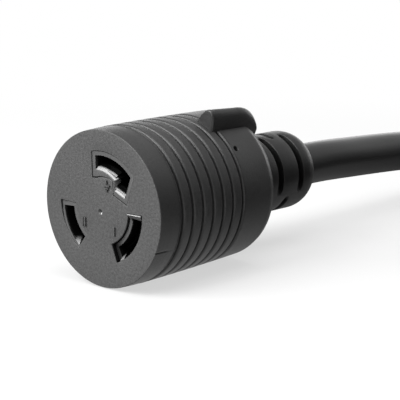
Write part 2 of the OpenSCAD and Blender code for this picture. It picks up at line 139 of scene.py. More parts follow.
# Where the two mouldings lie.
CONNECTOR_LENGTH = BODY_LENGTH + NECK_LENGTH
FACE_X = -CONNECTOR_LENGTH / 2
AXIS_Z = BODY_RADIUS
DROOP = np.radians(NECK_DROOP)
EXIT_DIR = np.array([np.cos(DROOP), 0, -np.sin(DROOP)])
EXIT_POINT = np.array([FACE_X + BODY_LENGTH, 0, AXIS_Z]) + NECK_LENGTH * EXIT_DIR
TURN_PITCH = CABLE_D + TURN_GAP
COIL_FAR_SIDE = 170.4
COIL_ASIDE = 140.0
COIL_CENTRE = np.array([EXIT_POINT[0] + COIL_FAR_SIDE - COIL_OUTER, -COIL_ASIDE])
LAYER_LOW = CABLE_R
LAYER_HIGH = CABLE_R + TURN_PITCH
# Shares of the coil's outer radius from its centre.
PLUG_FROM_CENTRE = (0.235, -0.74)
PLUG_NECK_END = np.array([
    *(COIL_CENTRE + COIL_OUTER * np.array(PLUG_FROM_CENTRE)), CABLE_D + TURN_PITCH + BODY_RADIUS,
])


def linear(code):
    """The linear RGBA colour of an sRGB hex value."""
    value = np.array([int(code[i:i + 2], 16) for i in (1, 3, 5)]) / 255
    low = value / 12.92
    high = ((value + 0.055) / 1.055) ** 2.4
    return (*np.where(value <= 0.04045, low, high).tolist(), 1.0)


# ---- camera and stage

def new_object(name, data):
    """A new object in the scene."""
    made = bpy.data.objects.new(name, data)
    bpy.context.scene.collection.objects.link(made)
    return made


def aim(made, place, towards):
    """Puts a camera or light at a place, in metres, and turns it to look along towards, without roll."""
    made.location = place
    made.rotation_euler = Vector(towards).to_track_quat("-Z", "Y").to_euler()


CAMERA_PLACE = (-0.36240, -0.32054, 0.12797)
CAMERA_TOWARDS = (0.7299, 0.6478, -0.2182)
CAMERA_LENS = 138.4

camera = bpy.data.cameras.new("camera")
camera.sensor_width = 36
camera.lens = CAMERA_LENS
bpy.context.scene.camera = new_object("camera", camera)
aim(bpy.context.scene.camera, CAMERA_PLACE, CAMERA_TOWARDS)
bpy.context.scene.view_settings.view_transform = "Standard"


# ---- node helpers

COORDS = "ShaderNodeTexCoord"
NOISE = "ShaderNodeTexNoise"
RANGE = "ShaderNodeMapRange"
MATH = "ShaderNodeMath"
VECTOR = "ShaderNodeVectorMath"
MIX = "ShaderNodeMix"
BUMP = "ShaderNodeBump"
SPLIT = "ShaderNodeSeparateXYZ"


def link(source, target, key):
    """Links a source, which is a node and its output, to an input of the target node."""
    node, output = source
    target.id_data.links.new(node.outputs[output], target.inputs[key])


def adder(tree):
    """The function that adds a node to a tree, with its settings and its inputs.

    An input is a link where it is a node and its output, two ends where its key is From or To, a colour
    where it is a hex value, and else a plain value.
    """
    def add(kind, inputs=None, **settings):
        made = tree.nodes.new(kind)
        for key, value in settings.items():
            setattr(made, key, value)
        for key, value in (inputs or {}).items():
            if key in ("From", "To"):
                made.inputs[key + " Min"].default_value, made.inputs[key + " Max"].default_value = value
            elif isinstance(value, tuple) and isinstance(value[0], bpy.types.Node):
                link(value, made, key)
            else:
                made.inputs[key].default_value = linear(value) if isinstance(value, str) else value
        return made
    return add


def new_material(name):
    """An empty node material, with its adding function and its output."""
    material = bpy.data.materials.new(name)
    material.use_nodes = True
    tree = material.node_tree
    tree.nodes.clear()
    return material, adder(tree), tree.nodes.new("ShaderNodeOutputMaterial")


# ---- mesh helpers

SHARP_ABOVE = 40


class Shell:
    """One piece while it is worked out: grids and plates of points in millimetres, and their faces."""

    def __init__(self):
        self.points = []
        self.faces = []
        self.flat = []
        self.count = 0

    def _take(self, points, faces, flat):
        """Adds points with their faces, numbered on from those that are there."""
        self.points.append(np.asarray(points, float).reshape(-1, 3))
        self.faces += (np.asarray(faces) + self.count).tolist()
        self.flat += [flat] * len(faces)
        self.count += len(self.points[-1])

    def grid(self, points):
        """Adds points[i, j] as quads between rows i and i + 1, with each row closed on itself."""
        rows, columns = points.shape[:2]
        i = np.arange(rows - 1)[:, None]
        j = np.arange(columns)[None]
        k = (j + 1) % columns
        a, b = i * columns + j, i * columns + k
        faces = np.stack([a, b, b + columns, a + columns], axis=-1).reshape(-1, 4)
        self._take(points, faces, False)

    def cap(self, ring, flat=True):
        """Closes a ring with a fan round its middle."""
        n = len(ring)
        j = np.arange(n)
        faces = np.stack([j, (j + 1) % n, np.full(n, n)], axis=-1)
        self._take(np.vstack([ring, ring.mean(0)]), faces, flat)

    def plate(self, x, outer, holes):
        """A flat plate across the axis at x: the triangles inside outline outer and outside the holes."""
        outlines = [outer, *holes]
        points = np.vstack(outlines)
        edges = []
        for outline in outlines:
            start, n = len(edges), len(outline)
            edges += [(start + i, start + (i + 1) % n) for i in range(n)]
        corners, _, made, *_ = geometry.delaunay_2d_cdt([Vector(p) for p in points], edges, [], 0, 1e-6)
        found = np.array([v[:] for v in corners])
        triangles = np.array([f[:] for f in made])
        middles = found[triangles].mean(1)
        keep = inside(middles, outer)
        for hole in holes:
            keep &= ~inside(middles, hole)
        placed = np.column_stack([np.full(len(found), x), found])
        self._take(placed, triangles[keep], True)

    def piece(self, name, place, material, slot, mirrored=False):
        """The finished object at its place: merged, facing outwards, with steep edges sharp.

        A mirrored piece has its left and right exchanged.
        """
        mesh = bpy.data.meshes.new(name)
        points = np.vstack(self.points)
        if mirrored:
            points = points * [1, -1, 1]
        mesh.from_pydata((points + place).tolist(), [], self.faces)
        mesh.polygons.foreach_set("use_smooth", ~np.array(self.flat))
        work = bmesh.new()
        work.from_mesh(mesh)
        bmesh.ops.remove_doubles(work, verts=work.verts, dist=0.002)
        bmesh.ops.dissolve_degenerate(work, edges=work.edges, dist=0.0005)
        bmesh.ops.recalc_face_normals(work, faces=work.faces)
        work.to_mesh(mesh)
        work.free()
        mesh.transform(Matrix.Scale(MM, 4))
        mesh.set_sharp_from_angle(angle=np.radians(SHARP_ABOVE))
        piece = new_object(name, mesh)
        mesh.materials.append(material)
        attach(piece, "root")
        return piece


def inside(points, outline):
    """Which points lie inside a closed outline: a ray from them crosses it an odd number of times."""
    x, y = points[:, 0, None], points[:, 1, None]
    ax, ay = outline[:, 0], outline[:, 1]
    bx, by = np.roll(ax, -1), np.roll(ay, -1)
    spans = (ay > y) != (by > y)
    with np.errstate(divide="ignore", invalid="ignore"):
        crossing = ax + (y - ay) * (bx - ax) / (by - ay)
    return (spans & (x < crossing)).sum(1) % 2 == 1


def smooth_step(low, high, value):
    """0 below low, 1 above high, and 3t^2 - 2t^3 between them."""
    t = np.clip((value - low) / (high - low), 0, 1)
    return t * t * (3 - 2 * t)


def on_axis(x, r, azimuth):
    """The point at x and distance r from the axis, at an azimuth in degrees."""
    a = np.radians(azimuth)
    x, r, a = np.broadcast_arrays(x, r, a)
    return np.stack([x, -r * np.sin(a), r * np.cos(a)], axis=-1)


def droop_neck(points, droop):
    """Turns the points about the middle of the body's back by the neck's droop."""
    x = points[..., 0] - BODY_LENGTH
    y, z = points[..., 1], points[..., 2]
    turned_x = x * np.cos(droop) + z * np.sin(droop)
    turned_z = z * np.cos(droop) - x * np.sin(droop)
    return np.stack([BODY_LENGTH + turned_x, y, turned_z], axis=-1)


# ---- cord

# Distances behind the exit and aside in millimetres, and the share of the exit's height that is left.
LEAD_ROUTE = [
    (24.4, 0, 0.953), (34.4, 0, 0.917), (46.4, 0, 0.869), (57.4, 0, 0.826), (69.4, 0, 0.772),
    (82.6, -0.9, 0.712), (95.5, -3.4, 0.645), (108.1, -7.7, 0.573), (119.9, -13.5, 0.501),
    (130.9, -20.9, 0.428), (140.8, -29.6, 0.356), (149.5, -39.5, 0.283), (156.9, -50.5, 0.217),
    (162.7, -62.3, 0.157), (167, -74.9, 0.103), (169.5, -87.8, 0.06), (170.4, -101, 0.024),
    (170.4, -119, 0),
]
# Shares of the coil's outer radius from its centre, and the share of the climb to the plug.
TAIL_ROUTE = [
    (0.758, 0.692, 0.01), (0.854, 0.601, 0.038), (0.937, 0.498, 0.083), (1.007, 0.381, 0.146),
    (1.061, 0.26, 0.219), (1.098, 0.133, 0.305), (1.119, -0.003, 0.403), (1.119, -0.135, 0.498),
    (1.097, -0.265, 0.594), (1.047, -0.392, 0.692), (0.973, -0.502, 0.778), (0.879, -0.595, 0.851),
    (0.764, -0.67, 0.914), (0.641, -0.717, 0.962), (0.51, -0.738, 0.99),
]
STEPS_PER_TURN = 24
CLIMB = 180
TUCK = 2.5
SAG = 0.3
TUBE_STEP = 3.0
TUBE_SIDES = 28


def cord_route():
    """The cable's middle line: from the connector's neck into a coil of two layers, and up to the plug.

    The radius falls by one pitch a turn on the lower layer and grows again on the upper one.
    The height climbs from layer to layer as half a cosine wave, over half a turn.
    """
    lead = np.array(LEAD_ROUTE)
    lead = np.column_stack([
        EXIT_POINT[0] + lead[:, 0], lead[:, 1],
        LAYER_LOW + lead[:, 2] * (EXIT_POINT[2] - LAYER_LOW),
    ])
    lead[:, 2] -= SAG * np.sin(np.pi * np.linspace(0, 1, len(lead))) ** 0.5
    whole = 2 * 360 * COIL_TURNS
    steps = round(whole * STEPS_PER_TURN / 360)
    wound = np.linspace(0, whole, steps + 1)
    radius = COIL_OUTER - TURN_PITCH * np.minimum(wound, whole - wound) / 360
    climbed = np.clip((wound - whole / 2 + CLIMB / 2) / CLIMB, 0, 1)
    height = LAYER_LOW + TURN_PITCH * (1 - np.cos(np.pi * climbed)) / 2
    turned = np.radians(-wound)
    coil = np.column_stack([
        COIL_CENTRE[0] + radius * np.cos(turned), COIL_CENTRE[1] + radius * np.sin(turned), height,
    ])
    coil_start = [COIL_CENTRE[0] + COIL_OUTER, COIL_CENTRE[1] + CABLE_D, LAYER_LOW]
    last = np.radians(whole)
    coil_end = coil[-1] + CABLE_D * np.array([-np.sin(last), -np.cos(last), 0])
    tail = np.array(TAIL_ROUTE)
    tail = np.column_stack([
        COIL_CENTRE + COIL_OUTER * tail[:, :2],
        LAYER_HIGH + tail[:, 2] * (PLUG_NECK_END[2] - LAYER_HIGH),
    ])
    return np.vstack([
        EXIT_POINT - TUCK * EXIT_DIR, EXIT_POINT + CABLE_D * EXIT_DIR, lead, coil_start,
        coil, coil_end, tail, PLUG_NECK_END + [CABLE_D, 0, 0], PLUG_NECK_END - [TUCK, 0, 0],
    ])


def rounded_route(points, step):
    """A Catmull-Rom curve through the points, taken again at even distances of about one step."""
    padded = np.vstack([2 * points[0] - points[1], points, 2 * points[-1] - points[-2]])
    t = np.linspace(0, 1, 12, endpoint=False)[:, None]
    a, b, c, d = (padded[i:len(padded) - 3 + i, None] for i in range(4))
    curve = 0.5 * (
        2 * b + (c - a) * t + (2 * a - 5 * b + 4 * c - d) * t ** 2 + (3 * b - a - 3 * c + d) * t ** 3)
    curve = np.vstack([curve.reshape(-1, 3), points[-1]])
    run = np.concatenate([[0], np.cumsum(np.linalg.norm(np.diff(curve, axis=0), axis=1))])
    even = np.linspace(0, run[-1], int(run[-1] / step) + 1)
    return np.column_stack([np.interp(even, run, curve[:, k]) for k in range(3)]), even


def cable(material):
    """A round tube on the route: each ring is the middle + r (cos up + sin side).

    r is the cable's radius and a faint swell, where the three twisted wires inside press the jacket out.
    """
    middle, run = rounded_route(cord_route(), TUBE_STEP)
    along = np.gradient(middle, axis=0)
    along /= np.linalg.norm(along, axis=1, keepdims=True)
    side = np.cross(along, [0, 0, 1])
    side /= np.linalg.norm(side, axis=1, keepdims=True)
    up = np.cross(side, along)
    angle = 2 * np.pi * np.arange(TUBE_SIDES) / TUBE_SIDES
    radius = CABLE_R + JACKET_SWELL * np.cos(3 * (angle[None] - 2 * np.pi * run[:, None] / WIRE_LAY))
    rings = middle[:, None] + radius[..., None] * (
        np.cos(angle)[None, :, None] * up[:, None] + np.sin(angle)[None, :, None] * side[:, None])
    shell = Shell()
    shell.grid(rings)
    shell.cap(rings[0])
    shell.cap(rings[-1])
    piece = shell.piece("cable", 0, material, "cable_jacket")
    return piece, middle, run[-1]


# ---- materials

def moulded_pvc(name, colour, light_colour, roughness, grain):
    """Soft satin PVC: a fine even grain, a little paler where it is rubbed. The grain's height is in mm."""
    material, add, output = new_material(name)
    place = add(COORDS)
    fine = add(NOISE, {"Vector": (place, "Object"), "Scale": 1 / (0.55 * MM), "Detail": 3.0})
    broad = add(NOISE, {"Vector": (place, "Object"), "Scale": 1 / (18 * MM)})
    tone = add(RANGE, {"Value": (broad, "Fac"), "From": (0.35, 0.65)})
    speck = add(RANGE, {"Value": (fine, "Fac"), "From": (0.3, 0.7)})
    both = add(MATH, {0: (tone, 0), 1: (speck, 0)}, operation="MULTIPLY")
    mixed = add(MIX, {"Factor": (both, 0), 6: colour, 7: light_colour}, data_type="RGBA")
    rough = add(RANGE, {
        "Value": (fine, "Fac"), "From": (0.3, 0.7), "To": (roughness - 0.05, roughness + 0.07)})
    bump = add(BUMP, {"Height": (fine, "Fac"), "Distance": grain * MM})
    shader = add("ShaderNodeBsdfPrincipled", {
        "Base Color": (mixed, 2), "Roughness": (rough, 0), "Normal": (bump, 0), "IOR": 1.5})
    link((shader, 0), output, 0)
    return material


# Where the mould's gate was torn off the face, as Y and Z from the axis, and the spot beside it painted
# white as a highlight.
GATE_AT = (0.65, -0.8)
GATE_RADIUS = 0.85
GATE_DEPTH = 0.5
GATE_GLINT = ((FACE_X + 0.15) * MM, (GATE_AT[0] - 0.35) * MM, (AXIS_Z + GATE_AT[1] - 0.3) * MM)


def faced_pvc():
    """The connector's PVC: satin, with a paler face from a spark-eroded plate, of a coarser grain.

    At the gate the plastic was torn off, and a white spot beside it is a painted highlight. Nearer the axis
    than the grooves it is a deeper black: painted shade on the windows' walls, which darkens the neck too.
    """
    material = moulded_pvc("moulded_pvc", "#1e1e1e", "#2c2c2c", 0.42, 0.04)
    add = adder(material.node_tree)
    place = add(COORDS)
    along = add(SPLIT, {0: (place, "Object")})
    face = add(RANGE, {"Value": (along, "X"), "From": ((FACE_X + 0.45) * MM, (FACE_X + 0.15) * MM)})
    coarse = add(NOISE, {"Vector": (place, "Object"), "Scale": 1 / (0.8 * MM), "Detail": 4.0})
    grain = add(RANGE, {"Value": (coarse, "Fac"), "From": (0.3, 0.7)})
    plate = add(MIX, {"Factor": (grain, 0), 6: "#333333", 7: "#434343"}, data_type="RGBA")
    # Painted highlight: a white spot beside the gate stands in for a glint in its scar.
    gate = add(VECTOR, {0: (place, "Object"), 1: GATE_GLINT}, operation="DISTANCE")
    pale = add(RANGE, {"Value": (gate, "Value"), "From": (0.5 * MM, 0.3 * MM)})
    plate = add(MIX, {"Factor": (pale, 0), 6: (plate, 2), 7: "#d8d8d8"}, data_type="RGBA")
    # A place (x, y, z) crossed with X is (0, z, -y), and its distance to the axis's own is the radius.
    crossed = add(VECTOR, {0: (place, "Object"), 1: (1.0, 0.0, 0.0)}, operation="CROSS_PRODUCT")
    from_axis = add(VECTOR, {0: (crossed, 0), 1: (0.0, AXIS_Z * MM, 0.0)}, operation="DISTANCE")
    # Painted shade: nearer the axis than the grooves the colour goes a deeper black, for the windows'
    # walls.
    walls = add(RANGE, {"Value": (from_axis, "Value"), "From": (21.5 * MM, 20.5 * MM)})
    shader = material.node_tree.nodes["Principled BSDF"]
    satin = shader.inputs["Base Color"].links[0].from_node
    satin = add(MIX, {"Factor": (walls, 0), 6: (satin, 2), 7: "#060606"}, data_type="RGBA")
    colour = add(MIX, {"Factor": (face, 0), 6: (satin, 2), 7: (plate, 2)}, data_type="RGBA")
    link((colour, 2), shader, "Base Color")
    smooth = shader.inputs["Roughness"].links[0].from_node
    rough = add(MIX, {"Factor": (face, 0), 2: (smooth, 0), 3: 0.6})
    link((rough, 0), shader, "Roughness")
    fine = shader.inputs["Normal"].links[0].from_node
    depth = add(MATH, {0: (face, 0), 1: 0.14 * MM}, operation="MULTIPLY")
    relief = add(BUMP, {"Height": (coarse, "Fac"), "Distance": (depth, 0), "Normal": (fine, 0)})
    link((relief, 0), shader, "Normal")
    return material


# The middle of the ground blade's hook wall, which is painted pale as painted light.
HOOK_WALL_LIT = ((FACE_X + 1.0) * MM, -5.2 * MM, (AXIS_Z + 8.0) * MM)


def moulded_nylon():
    """Black nylon: faces across the axis have the mould's grain, the walls between them are drawn smooth.

    The share of grain follows the face's normal, in object space, and fades from the slots' mouths
    inwards. The same share lightens the colour, and its fade inwards is painted shade. The hook's wall is
    painted pale as painted light, and upward edges proud of the face are painted pale as a highlight.
    """
    material, add, output = new_material("moulded_nylon")
    place = add(COORDS)
    fine = add(NOISE, {"Vector": (place, "Object"), "Scale": 1 / (0.5 * MM), "Detail": 3.0})
    normal = add(SPLIT, {0: (place, "Normal")})
    facing = add(RANGE, {
        "Value": (normal, "X"), "From": (-0.5, -0.95), "To Min": 0.35}, interpolation_type="SMOOTHSTEP")
    along = add(SPLIT, {0: (place, "Object")})
    # The grain's share also sets the colour; its fade from the mouths inwards is painted shade.
    mouth = add(RANGE, {"Value": (along, "X"), "From": ((FACE_X + 1.6) * MM, (FACE_X + 0.95) * MM)})
    front = add(MATH, {0: (facing, 0), 1: (mouth, 0)}, operation="MULTIPLY")
    mixed = add(MIX, {"Factor": (front, 0), 6: "#080808", 7: "#484848"}, data_type="RGBA")
    rough = add(RANGE, {"Value": (front, 0), "To": (0.45, 0.5)})
    bump = add(BUMP, {"Height": (fine, "Fac"), "Strength": (front, 0), "Distance": 0.04 * MM})
    # Painted light: the hook's wall is painted pale, standing in for light reaching into the slot.
    hook = add(VECTOR, {0: (place, "Object"), 1: HOOK_WALL_LIT}, operation="DISTANCE")
    rubbed = add(RANGE, {"Value": (hook, "Value"), "From": (2.5 * MM, 2.0 * MM)})
    # Painted highlight: upward-facing edges proud of the face are painted pale.
    proud = add(RANGE, {"Value": (along, "X"), "From": ((FACE_X - 0.02) * MM, (FACE_X - 0.1) * MM)})
    upward = add(RANGE, {"Value": (normal, "Z"), "From": (0.3, 0.8)})
    edge = add(MATH, {0: (proud, 0), 1: (upward, 0)}, operation="MULTIPLY")
    sideways = add(RANGE, {"Value": (normal, "Y"), "From": (-0.6, -0.9)})
    rubbed = add(MATH, {0: (rubbed, 0), 1: (sideways, 0)}, operation="MULTIPLY")
    painted_light = add(MIX, {"Factor": (rubbed, 0), 6: (mixed, 2), 7: "#777777"}, data_type="RGBA")
    painted_light = add(MIX, {"Factor": (edge, 0), 6: (painted_light, 2), 7: "#a8a8a8"}, data_type="RGBA")
    shader = add("ShaderNodeBsdfPrincipled", {
        "Base Color": (painted_light, 2), "Roughness": (rough, 0), "Normal": (bump, 0), "Specular IOR Level": 0.3})
    link((shader, 0), output, 0)
    return material


def jacket_pvc():
    """Extruded cable jacket: smoother than the moulding, with a faint grain from the die."""
    material, add, output = new_material("extruded_pvc_jacket")
    place = add(COORDS)
    fine = add(NOISE, {"Vector": (place, "Object"), "Scale": 1 / (0.8 * MM)})
    mixed = add(MIX, {"Factor": (fine, "Fac"), 6: "#181818", 7: "#222222"}, data_type="RGBA")
    bump = add(BUMP, {"Height": (fine, "Fac"), "Distance": 0.02 * MM})
    shader = add("ShaderNodeBsdfPrincipled", {
        "Base Color": (mixed, 2), "Roughness": 0.33, "Normal": (bump, 0), "IOR": 1.5})
    link((shader, 0), output, 0)
    return material


def contact_metal(name, depth, height, fade):
    """Nickel-plated contact leaves: bright near the mouth, with painted shade deeper in and higher up.

    Painted shade darkens them at a depth behind the face, and over fade above a height over the floor.
    """
    material = plated_metal(name, "#8c8c8c", "#787878", 0.6)
    add = adder(material.node_tree)
    place = add(COORDS)
    along = add(SPLIT, {0: (place, "Object")})
    inward = add(RANGE, {
        "Value": (along, "X"), "From": ((FACE_X + depth) * MM, (FACE_X + depth + 0.35) * MM)})
    upward = add(RANGE, {"Value": (along, "Z"), "From": (height * MM, (height + fade) * MM)})
    # Painted shade: the leaves go near-black deeper in and higher up.
    deep = add(MATH, {0: (inward, 0), 1: (upward, 0)}, operation="MAXIMUM")
    shader = material.node_tree.nodes["Principled BSDF"]
    clean = shader.inputs["Base Color"].links[0].from_node
    painted_deep_shade = add(MIX, {"Factor": (deep, 0), 6: (clean, 2), 7: "#0a0a0a"}, data_type="RGBA")
    link((painted_deep_shade, 2), shader, "Base Color")
    return material


def plated_metal(name, colour, dark, roughness):
    """Stamped and plated metal: bright, with fine rolling marks and a few darker stains."""
    material, add, output = new_material(name)
    place = add(COORDS)
    stretch = add("ShaderNodeMapping", {"Vector": (place, "Object"), "Scale": (1.0, 8.0, 8.0)})
    marks = add(NOISE, {"Vector": (stretch, 0), "Scale": 1 / (2 * MM), "Detail": 4.0})
    mixed = add(MIX, {"Factor": (marks, "Fac"), 6: dark, 7: colour}, data_type="RGBA")
    rough = add(RANGE, {"Value": (marks, "Fac"), "To": (roughness - 0.06, roughness + 0.1)})
    bump = add(BUMP, {"Height": (marks, "Fac"), "Distance": 0.01 * MM})
    shader = add("ShaderNodeBsdfPrincipled", {
        "Base Color": (mixed, 2), "Roughness": (rough, 0), "Metallic": 1.0, "Normal": (bump, 0)})
    link((shader, 0), output, 0)
    return material


PVC = faced_pvc()
PLUG_PVC = moulded_pvc("moulded_pvc_plug", "#1e1e1e", "#2c2c2c", 0.42, 0.04)
JACKET = jacket_pvc()
# The ground contact's height is above the whole body, so only its depth darkens it.
NICKEL_G = contact_metal("nickel_plated_brass_g", depth=0.95, height=50.0, fade=1.0)
NICKEL_X = contact_metal("nickel_plated_brass_x", depth=1.8, height=10.2, fade=1.2)
NICKEL_Y = contact_metal("nickel_plated_brass_y", depth=1.6, height=12.0, fade=2.4)
BRASS = plated_metal("brass", "#d8b468", "#b8924a", 0.3)
CARRIER = moulded_nylon()
COPPER = plated_metal("copper", "#c98a5c", "#9a5f38", 0.34)


def wire_pvc(name, colour, light_colour):
    """Extruded PVC insulation of one wire."""
    return moulded_pvc(name, colour, light_colour, 0.4, 0.01)


WIRE_GREEN = wire_pvc("wire_pvc_green", "#2a7438", "#348a45")
WIRE_BLACK = wire_pvc("wire_pvc_black", "#191919", "#252525")
WIRE_WHITE = wire_pvc("wire_pvc_white", "#e2e2dd", "#ecece8")

cord, cord_middle, cord_length = cable(JACKET)


# ---- outlines across the axis

def spread(length):
    """The angle in degrees that a length takes on the circle of the slots."""
    return np.degrees(length / SLOT_MIDDLE)


def across(radius, azimuth):
    """Points at a radius and azimuths, as Y and Z."""
    a = np.radians(azimuth)
    return np.stack(np.broadcast_arrays(-radius * np.sin(a), radius * np.cos(a)), axis=-1)


ARC_STEPS = 20
HOOK_WALL_THINNER = 0.9
Y_WALL_THINNER = 0.9
INNER_WALL_THICKER = (-0.9, 1.1)


def sector_outline(inner, outer, start, end):
    """A ring sector: its outer arc, then its inner arc backwards."""
    a = np.linspace(start, end, ARC_STEPS)
    return np.vstack([across(outer, a), across(inner, a[::-1])])


def slot_x(grow, outer_grow):
    """The slot for line X, grown by one distance, and by its own distance at its outer wall."""
    half = X_HALF + spread(grow)
    return sector_outline(SLOT_INNER - grow, SLOT_OUTER + outer_grow, AT_X - half, AT_X + half)


def wall_share(grow):
    """0 at a slot and its pocket, rising to 1 at the outside of the boss round it."""
    return np.clip((grow - POCKET_ROOM) / (BOSS_WALL - POCKET_ROOM), 0, 1)


def slot_y(grow, outer_grow):
    """The slot for line Y, whose boss has a thinner wall at its lower end."""
    thinner = Y_WALL_THINNER * wall_share(grow)
    outer = SLOT_OUTER + outer_grow - thinner * np.linspace(1, 0, ARC_STEPS)
    return sector_outline(
        SLOT_INNER - grow, outer, AT_Y - Y_HALF - spread(grow - thinner), AT_Y + Y_HALF + spread(grow))


def grown(outline, distance):
    """The outline with each edge moved outwards by its own distance.

    A corner goes to where its two moved edges meet, and a point of an arc along the mean of their normals.
    """
    ahead = np.roll(outline, -1, axis=0) - outline
    ahead /= np.linalg.norm(ahead, axis=1, keepdims=True)
    out = np.column_stack([ahead[:, 1], -ahead[:, 0]])
    before = np.roll(out, 1, axis=0)
    distance_before = np.roll(distance, 1)
    turn = out[:, 0] * before[:, 1] - out[:, 1] * before[:, 0]
    corner = np.abs(turn) > 0.3
    mean = out + before
    mean *= ((distance + distance_before) / 2 / np.linalg.norm(mean, axis=1))[:, None]
    met = np.column_stack([
        distance * before[:, 1] - distance_before * out[:, 1],
        out[:, 0] * distance_before - before[:, 0] * distance,
    ]) / np.where(corner, turn, 1)[:, None]
    return outline + np.where(corner[:, None], met, mean)


def slot_g(grow, outer_grow):
    """The ground slot: an arc whose far end turns in towards the axis as a square hook.

    The boss's wall is thinner beside the hook, next to the mark, and grows along the inner arc. Clearances
    stay even all round.
    """
    outer_arc = across(SLOT_OUTER, np.linspace(*G_OUTER_ARC, ARC_STEPS))
    inner_arc = G_INNER_MIDDLE + across(G_INNER_RADIUS, np.linspace(*G_INNER_ARC[::-1], ARC_STEPS))
    outline = np.vstack([outer_arc, G_HOOK, inner_arc])
    distance = np.full(len(outline), float(grow))
    distance[:ARC_STEPS - 1] = outer_grow
    wall = wall_share(grow)
    distance[ARC_STEPS + 1] -= HOOK_WALL_THINNER * wall
    distance[ARC_STEPS + 2:-1] += np.linspace(*INNER_WALL_THICKER, ARC_STEPS - 1) * wall
    return grown(outline, distance)


# Each slot, its boss's reach past the outer wall where that is less than elsewhere, and how deep it lies.
SLOTS = [
    (slot_g, None, BOSS_SINK),
    (slot_x, X_OUTER, BOSS_SINK_X),
    (slot_y, None, BOSS_SINK),
]


def loft(shell, levels):
    """Walls between outlines with equal numbers of points, each given with its place x on the axis."""
    rows = [np.column_stack([np.broadcast_to(x, len(o)), o]) for x, o in levels]
    shell.grid(np.array(rows))


def quarter(steps):
    """Sine and cosine of even steps from 0 to 90 degrees."""
    a = np.linspace(0, np.pi / 2, steps + 1)
    return list(zip(np.sin(a), np.cos(a)))


# ---- body of connector and plug

def barrel(x):
    """Radius of the body: full at the band, falling with the square of the distance to the rear rim."""
    back = BODY_LENGTH - RIM_EDGE - RIM_BEVEL
    t = np.clip((x - FRONT_BAND) / (back - FRONT_BAND), 0, 1)
    return BODY_RADIUS - (BODY_RADIUS - REAR_RADIUS) * t ** 2


# Distance from a groove's middle, and share of its depth there: upright walls with rounded lips.
GROOVE_SHAPE = np.array([
    (-0.95, 0), (-0.8, 0), (-0.72, 0.03), (-0.67, 0.1), (-0.65, 0.2), (-0.62, 0.94), (-0.56, 1), (0, 1),
    (0.54, 1), (0.6, 0.94), (0.65, 0.42), (0.73, 0.28), (0.86, 0.15), (1.05, 0.06), (1.3, 0.015), (1.6, 0),
])
# Distances of the rows and columns round the core-pin hole from its middle.
PATCH = np.array([0, 0.45, 0.82, 0.9, 1.02, 1.25, 1.7])


def both_sides(offsets):
    """The offsets and their negatives, in order."""
    return np.unique(np.concatenate([-offsets, offsets]))


def body_profile():
    """x and r from the front edge over the grooves and the rim to the foot of the neck."""
    crown = BODY_RADIUS - BAND_STEP
    rows = [(FRONT_EDGE * (1 - c), crown - FRONT_TAPER - FRONT_EDGE * (1 - s)) for s, c in quarter(8)]
    rows += [(x, crown - FRONT_TAPER * (1 - x / SEAM_LENGTH)) for x in (1.2, 2.5, 4.2)]
    rows += [(x, crown) for x in (SEAM_LENGTH, SEAM_LENGTH + 0.3, FRONT_BAND - 0.15)]
    for i in range(GROOVE_COUNT):
        middle = GROOVE_FIRST + i * GROOVE_PITCH
        rows += [(middle + t, barrel(middle + t) - GROOVE_DEPTH * share) for t, share in GROOVE_SHAPE]
    rows += [(x, barrel(x)) for x in PIN_HOLE_X + both_sides(PATCH)]
    back = BODY_LENGTH - RIM_EDGE
    rows += [(x, barrel(x)) for x in (44.5, 47.5, 50.3)]
    rows += [(back - RIM_BEVEL * (1 - t), REAR_RADIUS - RIM_DROP * t ** 1.4)
             for t in np.linspace(0, 1, 8)[:-1]]
    rows += [(back + RIM_EDGE * s, REAR_RADIUS - RIM_DROP - RIM_EDGE * (1 - c)) for s, c in quarter(12)]
    rows += [(BODY_LENGTH, 19.0), (BODY_LENGTH, 16.0)]
    return np.array(rows)


SLIT_LIP = 0.2
SLIT_LIP_STEPS = (0.02, 0.06, 0.12, SLIT_LIP)
SLIT_INNER_STEPS = (0, 0.5, 0.9, 0.96)
SLIT_TAPER = 9.0
SLIT_END = 0.2


def slit_shape(azimuth, kind):
    """A slit's half width and the depth of its floor at an azimuth.

    The floor is flat, a chord of the neck, and nowhere deeper than the slit's depth. Over the last degrees
    of each end the width falls as a square root to a fifth.
    """
    half = SLIT_HALF[kind]
    off = (azimuth - SLIT_AT[kind] + 90) % 180 - 90
    reach = np.abs(off) < half
    chord = NECK_RADIUS * (1 - np.cos(np.radians(half)) / np.cos(np.radians(np.where(reach, off, 0))))
    floor = np.where(reach, np.minimum(chord, SLIT_DEPTH), 0)
    left = np.clip((half - np.abs(off)) / SLIT_TAPER, 0, 1)
    return SLIT_WIDTH / 2 * (SLIT_END + (1 - SLIT_END) * np.sqrt(left)), floor


def neck_rows(azimuth):
    """The strain relief's rows: distance from the body and radius, with rows along the slits' edges.

    A slit's walls are straight below a lip rounded as a quarter circle.
    """
    foot = NECK_RADIUS + NECK_FILLET
    even = np.ones_like(azimuth)
    rows = [(NECK_FILLET * (1 - c) * even, (foot - NECK_FILLET * s) * even) for s, c in quarter(6)]
    for row in range(SLIT_ROWS):
        middle = SLIT_FIRST + row * SLIT_PITCH
        half, floor = slit_shape(azimuth, 1 - row % 2)
        wall = [(half * share, floor) for share in SLIT_INNER_STEPS]
        wall.append((half, np.minimum(floor, SLIT_LIP)))
        for step in SLIT_LIP_STEPS:
            sunk = SLIT_LIP - np.sqrt(SLIT_LIP ** 2 - (SLIT_LIP - step) ** 2)
            wall.append((half + step, np.minimum(floor, sunk)))
        rows += [(middle - off, NECK_RADIUS - sunk) for off, sunk in wall[:0:-1]]
        rows += [(middle + off, NECK_RADIUS - sunk) for off, sunk in wall]
    straight = NECK_LENGTH - NECK_ROUND
    end = CABLE_R + NECK_LIP
    rows += [((straight + NECK_ROUND * s) * even, (end + (NECK_RADIUS - end) * c) * even)
             for s, c in quarter(14)]
    return np.array(rows).transpose(1, 0, 2)


